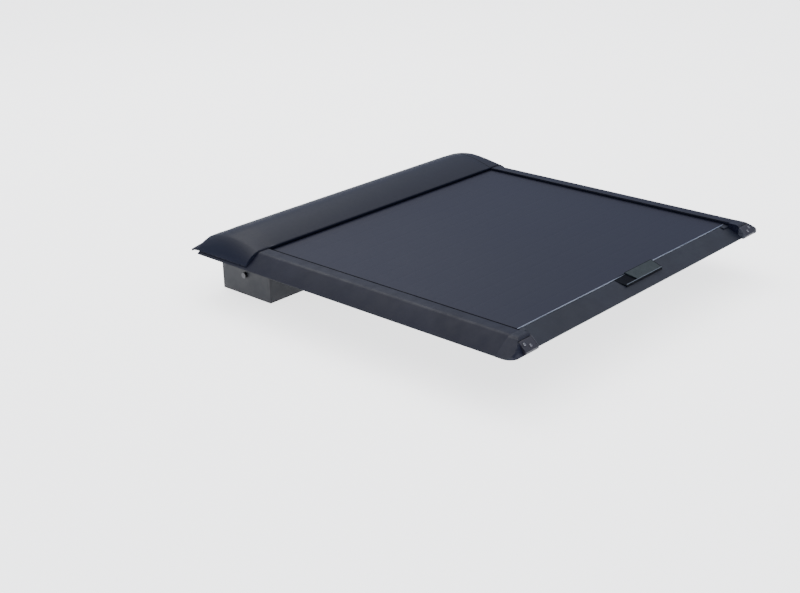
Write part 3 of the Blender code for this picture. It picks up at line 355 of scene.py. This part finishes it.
def node_material(name):
    if name in NODE_MATERIALS:
        return NODE_MATERIALS[name]
    if name.startswith(("spring_spindle", "drum_bush")):
        return DARK_STEEL
    if name.startswith("rail_clamp"):
        return ALUMINIUM_Y
    if name.startswith("track_liner"):
        return LINER
    if "seal" in name:
        return SEAL_RUBBER
    if name.startswith("rail_end_cap"):
        return CAP_PLASTIC
    if name.startswith("bar_end"):
        return BAR_POWDER
    if name.startswith(("corner_bracket", "drum_plug")):
        return BLACK_PLASTIC
    return ZINC_PLATE


def dress_nodes():
    for name in nodes:
        materials = nodes[name].data.materials
        materials.clear()
        materials.append(node_material(name))


# ------------------------------------------------------------------------------
# mesh helpers
# ------------------------------------------------------------------------------
def piece(bm, name, material, body="frame", smooth=None):
    """Object from a mesh, riding a body; smooth is the sharp-edge angle in degrees."""
    mesh = bpy.data.meshes.new(name)
    bmesh.ops.remove_doubles(bm, verts=bm.verts, dist=1e-7)
    bmesh.ops.recalc_face_normals(bm, faces=bm.faces)
    bm.to_mesh(mesh)
    bm.free()
    mesh.materials.append(material)
    obj = bpy.data.objects.new(name, mesh)
    bpy.context.scene.collection.objects.link(obj)
    if smooth is not None:
        mesh.shade_smooth()
        mesh.set_sharp_from_angle(angle=math.radians(smooth))
    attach(obj, body)
    return obj


def solids(*ring_lists):
    """Mesh of closed solids, each skinned through a list of point rings and capped."""
    bm = bmesh.new()
    for rings in ring_lists:
        loops = [[bm.verts.new(Vector(point) * MM) for point in ring] for ring in rings]
        bm.faces.new(loops[0])
        bm.faces.new(loops[-1][::-1])
        for near, far in zip(loops, loops[1:]):
            for i in range(len(near)):
                j = (i + 1) % len(near)
                bm.faces.new((near[i], far[i], far[j], near[j]))
    return bm


def along_x(outline, start, end):
    """The two end rings of a (y, z) outline swept along X."""
    return [[(x, y, z) for y, z in outline] for x in (start, end)]


def along_y(outline, start, end, side):
    """The two end rings of an (x, z) outline swept along Y, on one side."""
    return [[(side * x, y, z) for x, z in outline] for y in (start, end)]


def rounded(corners, steps):
    """Outline from corners given as two coordinates and a rounding radius."""
    outline = []
    points = [Vector(corner[:2]) for corner in corners]
    for i, (corner, (_, _, radius)) in enumerate(zip(points, corners)):
        if radius <= 0:
            outline.append(tuple(corner))
            continue
        before, after = points[i - 1], points[(i + 1) % len(points)]
        back, ahead = (before - corner).normalized(), (after - corner).normalized()
        half_angle = math.acos(max(-1.0, min(1.0, back.dot(ahead)))) / 2.0
        cut = min(radius / math.tan(half_angle), (before - corner).length * 0.45,
                  (after - corner).length * 0.45)
        for k in range(steps + 1):
            t = k / steps
            point = ((corner + back * cut) * (1 - t) ** 2 + corner * 2 * t * (1 - t)
                     + (corner + ahead * cut) * t ** 2)
            outline.append(tuple(point))
    return outline


def soften(obj, width, angle):
    """Bevel the edges sharper than an angle in degrees."""
    bevel = obj.modifiers.new("Edges", "BEVEL")
    bevel.width = width * MM
    bevel.segments = 3
    bevel.limit_method = "ANGLE"
    bevel.angle_limit = math.radians(angle)


# ------------------------------------------------------------------------------
# side rails and the near-black strips on their lips that paint a shadow line
# ------------------------------------------------------------------------------
# right rail's section: x, z, corner radius
RAIL_SECTION = [
    # inner lip, flat top, soft fold and outer slope
    (RAIL_LIP_X, 43.0, 0.6), (RAIL_LIP_X, RAIL_TOP, 1.6), (RAIL_FLAT_X + 3.0, RAIL_TOP, 26.0),
    (RAIL_OUT_X, 3.2, 1.2), (RAIL_OUT_X, 2.6, 0.0),
    # outer foot and the underside of the slope
    (731.0, 2.6, 0.0), (731.0, 0.0, 0.0), (704.0, 0.0, 0.0), (704.0, 3.0, 0.0),
    (727.0, 3.0, 0.0), (727.0, 5.6, 1.0), (745.96, 5.6, 1.0), (685.0, 46.5, 6.0),
    # upright wall, inner foot and hanging flange
    (671.0, 46.5, 0.8), (671.0, 3.0, 0.8), (700.0, 3.0, 0.0), (700.0, 0.0, 0.0),
    (674.0, 0.0, 0.0), (674.0, 1.5, 0.0), (671.0, 1.5, 0.0), (671.0, -20.0, 0.8),
    (668.0, -20.0, 0.6),
    # inward ledge
    (668.0, 26.5, 0.6), (634.0, 26.5, 0.4), (634.0, 29.5, 0.4), (668.0, 29.5, 0.6),
    (668.0, 43.0, 0.6),
]
# near-black strip on the right rail's lip, painting the shadow line there: x, z, corner radius
LIP_SHADOW_SECTION = [
    (RAIL_LIP_X + 0.6, RAIL_TOP - 0.8, 0.0), (RAIL_LIP_X + 0.6, RAIL_TOP + 0.45, 0.5),
    (RAIL_LIP_X + 5.2, RAIL_TOP + 0.45, 0.5), (RAIL_LIP_X + 5.2, RAIL_TOP - 0.8, 0.0),
]


def build_rails():
    outline = rounded(RAIL_SECTION, steps=8)
    for side, word in SIDES:
        rail = piece(solids(along_y(outline, RAIL_REAR, RAIL_FRONT, side)),
                     f"rail_look_{word}", RAIL_POWDER, smooth=32.0)
        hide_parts(f"side_rail_{word}")
    outline = rounded(LIP_SHADOW_SECTION, steps=4)
    for side, word in SIDES:
        piece(solids(along_y(outline, RAIL_REAR, LID_REAR + 2.0, side)),
              f"lip_shadow_strip_{word}", LIP_SHADOW_BLACK, smooth=40.0)


# ------------------------------------------------------------------------------
# canister lid, on a fine grid
# ------------------------------------------------------------------------------
LID_SEAT = 43.3           # rear edge height between the rails
LID_BROW = 53.4           # start of the rise to the crest
LID_CREST_Y = -140.0
LID_BEND_X = 575.0        # the lid falls away outside this
LID_FOOT = 3.0            # lowest z
SHOULDER_WIDTH, SHOULDER_DROP = 8.0, 1.8      # beside the rail's flat top
SLOPE_DROP = 44.0         # from the shoulder to the rail's outer edge

# grid stations from the middle out, closer together over the rail
LID_STATIONS = sorted({
    *(14.0 * k for k in range(42)),
    *(588.0 + 4.0 * k for k in range(10)), 628.0, 630.6, 632.6, 636.0,
    *(640.0 + 4.0 * k for k in range(11)), 684.0, 686.5, 689.0,
    *(692.0 + 3.0 * k for k in range(16)), 739.0, 741.0, 743.0, 745.0, 746.6, 747.6, LID_X,
})


def rail_top_z(x):
    """Height of the surface the lid follows over a rail."""
    if x <= RAIL_FLAT_X:
        return RAIL_TOP
    past = x - RAIL_FLAT_X
    if x <= RAIL_FLAT_X + SHOULDER_WIDTH:
        return RAIL_TOP - SHOULDER_DROP * past / SHOULDER_WIDTH
    slope_width = RAIL_OUT_X - RAIL_FLAT_X - SHOULDER_WIDTH
    return RAIL_TOP - SHOULDER_DROP - SLOPE_DROP * (past - SHOULDER_WIDTH) / slope_width


def lid_section():
    """The middle section as (y, z), from the rear edge over the crest to the front foot."""
    brow_y = LID_REAR + 1.9
    points = [(LID_REAR, LID_SEAT), (LID_REAR, 47.0), (LID_REAR, 50.6),
              (LID_REAR + 0.25, 51.7), (LID_REAR + 0.9, 52.7), (brow_y, 53.5)]
    for k in range(1, 25):
        t = k / 24.0
        points.append((brow_y + (LID_CREST_Y - brow_y) * t,
                       LID_BROW + (LID_TOP - LID_BROW) * (1.0 - (1.0 - t) ** 1.6)))
    for k in range(1, 14):
        t = k / 14.0
        points.append((LID_CREST_Y + (4.0 - LID_CREST_Y) * t, LID_TOP - 52.0 * t ** 1.9))
    points += [(4.0, 36.0), (8.0, 34.0), (11.0, 31.5), (13.4, 28.6), (15.0, 25.0),
               (LID_FRONT, 20.0), (LID_FRONT, 12.0), (LID_FRONT, LID_FOOT)]
    return points


def lid_column(x, section):
    """The lid's section at one x, flattened towards the sides and seated on the rails."""
    reach = abs(x)
    bend = min(1.0, max(0.0, (reach - LID_BEND_X) / (LID_X - LID_BEND_X)))
    crown = (1.0 - bend ** 2.0) ** 0.8
    over_rail = reach > RAIL_LIP_X - 1.0
    seat = LID_SEAT
    if over_rail:
        seat = rail_top_z(reach) + (0.5 if reach < RAIL_FLAT_X else 0.8)
    edge = seat + 2.8
    column = []
    for k, (y, z) in enumerate(section):
        if k < 5:             # the rear edge
            height = seat + (0.6 * k if over_rail else z - LID_SEAT)
        elif z <= LID_FOOT:
            height = LID_FOOT
        elif not over_rail:
            height = min(z, 30.0) + max(0.0, z - 30.0) * crown
        else:                 # blends from on the rail to clear of it over the front end
            on_rail = edge + max(0.0, z - edge) * crown
            off_rail = 10.0 + (z - 10.0) * crown
            height = on_rail + (off_rail - on_rail) * min(1.0, max(0.0, (y + 21.0) / 24.0))
        column.append((x, y, max(height, LID_FOOT)))
    return column


def build_lid():
    section = lid_section()
    bm = bmesh.new()
    columns = [[bm.verts.new(Vector(point) * MM) for point in lid_column(x, section)]
               for x in [-x for x in LID_STATIONS[:0:-1]] + LID_STATIONS]
    for near, far in zip(columns, columns[1:]):
        for k in range(len(near) - 1):
            bm.faces.new((near[k], far[k], far[k + 1], near[k + 1]))
    lid = piece(bm, "lid_look", LID_PLASTIC, smooth=40.0)
    shell = lid.modifiers.new("Solidify", "SOLIDIFY")
    shell.thickness = 0.0024
    shell.offset = -1.0
    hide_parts("canister_lid")


# ------------------------------------------------------------------------------
# curtain: slats under a continuous skin
# ------------------------------------------------------------------------------
SLAT_COUNT = 16
SLAT_PITCH = (CURTAIN_FRONT - CURTAIN_REAR) / SLAT_COUNT
SLAT_INSET = 1.6          # from a pitch line to a slat's edge
SKIN_THICK = 1.4
TAPE_WIDTH = 1.4
GROOVE_DEPTH = 0.10       # dip of the skin at each joint
GROOVE_REACH = 0.05       # half-width of the dip, as a share of the pitch


def build_curtain():
    top = []
    for i in range(SLAT_COUNT):
        for share in (0.0, 0.02, 0.06, 0.25, 0.5, 0.75, 0.94, 0.98):
            sink = 0.0
            if i > 0 or share > 0.5:
                nearness = min(1.0, min(share, 1.0 - share) / GROOVE_REACH)
                sink = GROOVE_DEPTH * (1.0 - nearness)
            top.append((CURTAIN_REAR + i * SLAT_PITCH + share * SLAT_PITCH, CURTAIN_TOP - sink))
    top.append((CURTAIN_FRONT, CURTAIN_TOP))
    outline = top + [(y, z - SKIN_THICK) for y, z in top[::-1]]
    skin = piece(solids(along_x(outline, -CURTAIN_X, CURTAIN_X)), "curtain_face",
                 LAMINATE, body="curtain", smooth=30.0)
    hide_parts("slat_curtain")

    bars = []
    slat_top, slat_base = CURTAIN_TOP - 1.6, CURTAIN_TOP - 7.4
    for i in range(SLAT_COUNT):
        rear = CURTAIN_REAR + i * SLAT_PITCH + SLAT_INSET
        front = CURTAIN_REAR + (i + 1) * SLAT_PITCH - SLAT_INSET
        outline = rounded([(rear, slat_top, 0.0), (front, slat_top, 0.0),
                           (front, slat_base, 1.2), (rear, slat_base, 1.2)], steps=4)
        bars.append(along_x(outline, -CURTAIN_X + 1.5, CURTAIN_X - 1.5))
    parts = [skin, piece(solids(*bars), "curtain_slats", SLAT_METAL,
                         body="curtain", smooth=30.0)]

    # edge tapes that run in the tracks
    tape_top, tape_base = CURTAIN_TOP - SKIN_THICK, CURTAIN_TOP - 7.5
    outline = [(CURTAIN_REAR, tape_base), (CURTAIN_REAR, tape_top),
               (CURTAIN_FRONT, tape_top), (CURTAIN_FRONT, tape_base)]
    for word, start in (("right", CURTAIN_X - TAPE_WIDTH), ("left", -CURTAIN_X)):
        parts.append(piece(solids(along_x(outline, start, start + TAPE_WIDTH)),
                           f"curtain_tape_{word}", LINER, body="curtain"))
    for part in parts:
        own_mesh(part)


# ------------------------------------------------------------------------------
# leader between the roller and the tube: it stays while the curtain runs
# ------------------------------------------------------------------------------
LEADER_X = 598.0
LEADER_HALF = 0.4         # half its thickness


def centre(node):
    """Middle of a node as (y, z)."""
    return Vector([(low(node, axis) + high(node, axis)) / 2 for axis in "yz"])


def radius(node):
    return (high(node, "z") - low(node, "z")) / 2


def build_leader():
    roller, tube = centre("guide_roller"), centre("winding_tube")
    roller_radius = radius("guide_roller") + 0.8
    tube_radius = radius("wound_leader") + 0.9
    span = tube - roller
    ahead = span.normalized()
    across = Vector((-ahead.y, ahead.x))
    # direction from both centres to the points where the taut film touches, on the upper side
    lean = (roller_radius - tube_radius) / span.length
    touch = ahead * lean + across * math.sqrt(1.0 - lean ** 2)
    if touch.y < 0:
        touch = ahead * lean - across * math.sqrt(1.0 - lean ** 2)
    start, end = math.pi / 2, math.atan2(touch.y, touch.x)
    path = [roller + Vector((-3.0, roller_radius))]
    for k in range(13):
        angle = start + (end - start) * k / 12.0
        path.append(roller + Vector((math.cos(angle), math.sin(angle))) * roller_radius)
    path.append(tube + touch * tube_radius)
    upper, lower = [], []
    for k, point in enumerate(path):
        run = (path[min(k + 1, len(path) - 1)] - path[max(k - 1, 0)]).normalized()
        offset = Vector((-run.y, run.x)) * LEADER_HALF
        upper.append(tuple(point + offset))
        lower.append(tuple(point - offset))
    leader = piece(solids(along_x(upper + lower[::-1], -LEADER_X, LEADER_X)),
                   "leader_look", CLOTH, smooth=40.0)
    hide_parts("curtain_leader")


# ------------------------------------------------------------------------------
# corner brackets and their screws
# ------------------------------------------------------------------------------
BRACKET_SLOPE = 0.92      # fall of the top face per unit towards the rear
BRACKET_BASE = 0.3
BEAD_WIDTH = 1.3
PLATE_IN_X = BRACKET_IN_X + 3.6
PLATE_OUT_X = BRACKET_OUT_X - 3.0
# ribs along a bracket's edges: name, x from, x to, material, rise above the plate
BRACKET_RIBS = [
    ("inner", BRACKET_IN_X + BEAD_WIDTH, PLATE_IN_X, BLACK_PLASTIC, 0.7),
    # the bead is a pale strip painting the highlight along the bracket's inner edge
    ("bead", BRACKET_IN_X, BRACKET_IN_X + BEAD_WIDTH, BEAD_PAINTED_HIGHLIGHT, 1.0),
    ("outer", PLATE_OUT_X, BRACKET_OUT_X, BLACK_PLASTIC, 0.6),
]
# screws: name, x, y from the curtain's rear edge
SCREWS = [("upper", 682.0, -75.0), ("lower", 661.0, -83.0)]
# screw surface: height, radius, 1 for a hexagonal ring
SCREW_RINGS = [
    (-13.0, 2.3, 0), (0.2, 2.3, 0), (0.2, 5.2, 0), (1.2, 5.2, 0), (1.9, 4.9, 0),
    (2.4, 4.3, 0), (2.65, 3.4, 0), (2.7, 2.6, 0), (2.65, 2.2, 1), (1.2, 2.1, 1),
]


def bracket_z(y):
    return 44.0 + BRACKET_SLOPE * (y - BRACKET_FRONT)


def build_brackets():
    toe = (BRACKET_REAR + 9.0, BRACKET_BASE, 1.0)
    plate_outline = rounded([
        (BRACKET_FRONT, BRACKET_BASE, 0.0),
        (BRACKET_FRONT, bracket_z(BRACKET_FRONT - 0.2), 3.2),
        (BRACKET_REAR, bracket_z(BRACKET_REAR) - 0.2, 2.0),
        (BRACKET_REAR, 8.6, 1.0), toe], steps=6)
    rib_rear = BRACKET_REAR + 0.4
    for side, word in SIDES:
        plate = piece(solids(along_x(plate_outline, side * PLATE_IN_X, side * PLATE_OUT_X)),
                      f"bracket_look_{word}", BLACK_PLASTIC, smooth=30.0)
        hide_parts(f"corner_bracket_{word}")
        for where, start, end, material, rise in BRACKET_RIBS:
            outline = rounded([
                (BRACKET_FRONT, BRACKET_BASE, 0.0),
                (BRACKET_FRONT, bracket_z(BRACKET_FRONT) + rise - 0.6, 4.0),
                (rib_rear, bracket_z(rib_rear) + rise, 2.6),
                (rib_rear, 8.2, 1.0), toe], steps=6)
            rib = piece(solids(along_x(outline, side * start, side * end)),
                        f"bracket_rib_{where}_{word}", material, smooth=30.0)
            soften(rib, width=0.7, angle=50.0)


def screw_ring(height, radius, hexagonal):
    """One ring of a screw standing on Z."""
    ring = []
    for k in range(36):
        angle = 2.0 * math.pi * k / 36.0
        reach = radius
        if hexagonal:
            flat_angle = (angle % (math.pi / 3.0)) - math.pi / 6.0
            reach = radius * math.cos(math.pi / 6.0) / math.cos(flat_angle)
        ring.append(Vector((reach * math.cos(angle), reach * math.sin(angle), height)))
    return ring


def build_screws():
    """Pan heads with a hexagon socket, square to the bracket's top face."""
    normal = Vector((0.0, -BRACKET_SLOPE, 1.0)).normalized()
    turn = normal.to_track_quat("Z", "Y").to_matrix()
    for side, word in SIDES:
        for place, x, back in SCREWS:
            seat = Vector((side * x, EDGE_Y + back, bracket_z(EDGE_Y + back)))
            rings = [[turn @ point + seat for point in screw_ring(*row)] for row in SCREW_RINGS]
            screw = piece(solids(rings), f"screw_look_{word}_{place}", SCREW_ZINC,
                          smooth=32.0)
            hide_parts(f"bracket_screw_{word}_{place}")


# ------------------------------------------------------------------------------
# handle: rim of the hood and grips on the lift plate
# ------------------------------------------------------------------------------
HOOD_TILT = math.radians(20.0)
HOOD_LEAN = 0.34          # sideways shift per unit down the hood
# sections: distance down the hood, height off it
RIM_SECTION = [(46.9, -0.4), (46.9, 0.5), (47.3, 0.8), (49.0, 0.8), (49.4, 0.5), (49.4, -0.4)]
GRIP_SECTION = [(0.0, 0.4), (0.3, 0.9), (0.9, 1.15), (1.5, 0.9), (1.8, 0.4)]


def hood_point(x, down, height):
    """Point given by its distance down the hood's rearward slope and height off it."""
    return (x, EDGE_Y + 2.0 - math.cos(HOOD_TILT) * down - math.sin(HOOD_TILT) * height,
            47.0 - math.sin(HOOD_TILT) * down + math.cos(HOOD_TILT) * height)


def build_handle():
    # pale rim along the hood's rear edge, painting the highlight that edge catches; its -X end
    # leans, its +X end is square
    ends = [[hood_point(x + lean * (down - 48.0), down, height) for down, height in RIM_SECTION]
            for x, lean in ((-82.0, HOOD_LEAN), (134.0, 0.0))]
    piece(solids(ends), "hood_rim", RIM_PAINTED_HIGHLIGHT, body="curtain", smooth=30.0)

    # thumb grips
    for k in range(5):
        start = 12.0 + 6.0 * k
        ends = [[hood_point(x + HOOD_LEAN * start, start + down, height)
                 for down, height in GRIP_SECTION] for x in (-8.0, 20.0)]
        piece(solids(ends), f"plate_rib_{k}", PLATE_PLASTIC, body="paddle", smooth=50.0)


# ------------------------------------------------------------------------------
# softened edges on the frame's own pieces: bevel width, nodes
# ------------------------------------------------------------------------------
SOFT_EDGES = [
    (0.3, ("strike_plate_left", "strike_plate_right", "track_liner_left", "track_liner_right")),
    (0.35, ("rear_trim",)),
    (0.4, ("latch_bolt_left", "latch_bolt_right", "latch_crank", "pull_strap")),
    (0.5, ("drum_plug_left", "drum_plug_right")),
    (0.6, ("canister_end_left", "canister_end_right", "mouth_seal")),
    (0.7, ("handle_paddle", "canister_body", "bar_end_left", "bar_end_right",
           "rail_clamp_left_front", "rail_clamp_left_rear",
           "rail_clamp_right_front", "rail_clamp_right_rear")),
    (0.8, ("handle_housing", "tailgate_seal")),
    (0.9, ("rear_bar",)),
    (1.4, ("rail_end_cap_left", "rail_end_cap_right")),
]


def soften_nodes():
    for width, names in SOFT_EDGES:
        for name in names:
            soften(nodes[name], width, angle=32.0)


# ------------------------------------------------------------------------------
# stage, light, camera
# ------------------------------------------------------------------------------
def build_floor():
    bm = bmesh.new()
    bmesh.ops.create_grid(bm, x_segments=1, y_segments=1, size=90.0)
    mesh = bpy.data.meshes.new("studio_floor")
    bm.to_mesh(mesh)
    bm.free()
    floor = bpy.data.objects.new("studio_floor", mesh)
    bpy.context.scene.collection.objects.link(floor)
    floor.location = (0, 0, CAD_BOX[0].z - 0.002)

    n = Nodes("studio_floor")
    tone = n.mix(n.remap(n.noise(scale=0.8, detail=2.0)),
                 (0.92, 0.92, 0.925), (0.94, 0.94, 0.945))
    n.done(tone, rough=0.9, Specular_IOR_Level=0.1,
           Emission_Color=(1.0, 1.0, 1.0, 1.0), Emission_Strength=2.0)
    # seen from below, the floor is clear
    pick = n.new("ShaderNodeMixShader")
    n.feed(pick.inputs[0], n.new("ShaderNodeNewGeometry").outputs["Backfacing"])
    n.feed(pick.inputs[1], n.bsdf.outputs[0])
    n.feed(pick.inputs[2], n.new("ShaderNodeBsdfTransparent").outputs[0])
    n.feed(n.tree.nodes["Material Output"].inputs["Surface"], pick.outputs[0])
    mesh.materials.append(n.mat)


def build_world():
    world = bpy.data.worlds.new("studio")
    bpy.context.scene.world = world
    world.use_nodes = True
    tree = world.node_tree
    new, link = tree.nodes.new, tree.links.new
    # light from a sky that pales upwards
    sky = tree.nodes["Background"]
    split = new("ShaderNodeSeparateXYZ")
    link(new("ShaderNodeTexCoord").outputs["Generated"], split.inputs[0])
    ramp = new("ShaderNodeValToRGB")
    low_stop, high_stop = ramp.color_ramp.elements
    low_stop.position = 0.30
    low_stop.color = (0.15, 0.19, 0.30, 1.0)
    high_stop.position = 0.90
    high_stop.color = (1.0, 1.0, 1.0, 1.0)
    link(split.outputs["Z"], ramp.inputs[0])
    link(ramp.outputs[0], sky.inputs["Color"])
    sky.inputs["Strength"].default_value = 2.0
    # the backdrop the camera sees past the floor is plain and pale
    plain = new("ShaderNodeBackground")
    plain.inputs["Color"].default_value = (1.0, 1.0, 1.0, 1.0)
    plain.inputs["Strength"].default_value = 2.0
    choose = new("ShaderNodeMixShader")
    link(new("ShaderNodeLightPath").outputs["Is Camera Ray"], choose.inputs[0])
    link(sky.outputs[0], choose.inputs[1])
    link(plain.outputs[0], choose.inputs[2])
    link(choose.outputs[0], tree.nodes["World Output"].inputs["Surface"])


def build_light():
    """A large soft key light, high in front."""
    place, target = Vector((1.2, 2.4, 4.4)), Vector((0, -0.7, 0))
    data = bpy.data.lights.new("key", "AREA")
    data.shape = "RECTANGLE"
    data.size = data.size_y = 3.6
    data.energy = 150.0
    data.color = (1.0, 0.99, 0.97)
    light = bpy.data.objects.new("key", data)
    bpy.context.scene.collection.objects.link(light)
    light.location = place
    light.rotation_mode = "QUATERNION"
    light.rotation_quaternion = (target - place).to_track_quat("-Z", "Y")


def build_camera():
    data = bpy.data.cameras.new("main")
    data.sensor_width = 36.0
    data.lens = 58.46805
    data.clip_start, data.clip_end = 0.05, 100.0
    camera = bpy.data.objects.new("main", data)
    bpy.context.scene.collection.objects.link(camera)
    right = Vector((0.67333539, -0.73906661, -0.02000022))
    up = Vector((0.29331847, 0.24220416, 0.92482508))
    back = Vector((-0.67866320, -0.62858388, 0.37986651))
    pose = Matrix((right, up, back)).transposed().to_4x4()
    pose.translation = Vector((-3.52780, -3.59797, 1.64795))
    camera.matrix_world = pose
    bpy.context.scene.camera = camera


dress_nodes()
build_rails()
build_lid()
build_curtain()
build_leader()
build_brackets()
build_screws()
build_handle()
soften_nodes()
build_floor()
build_world()
build_light()
build_camera()

bpy.context.view_layer.update()
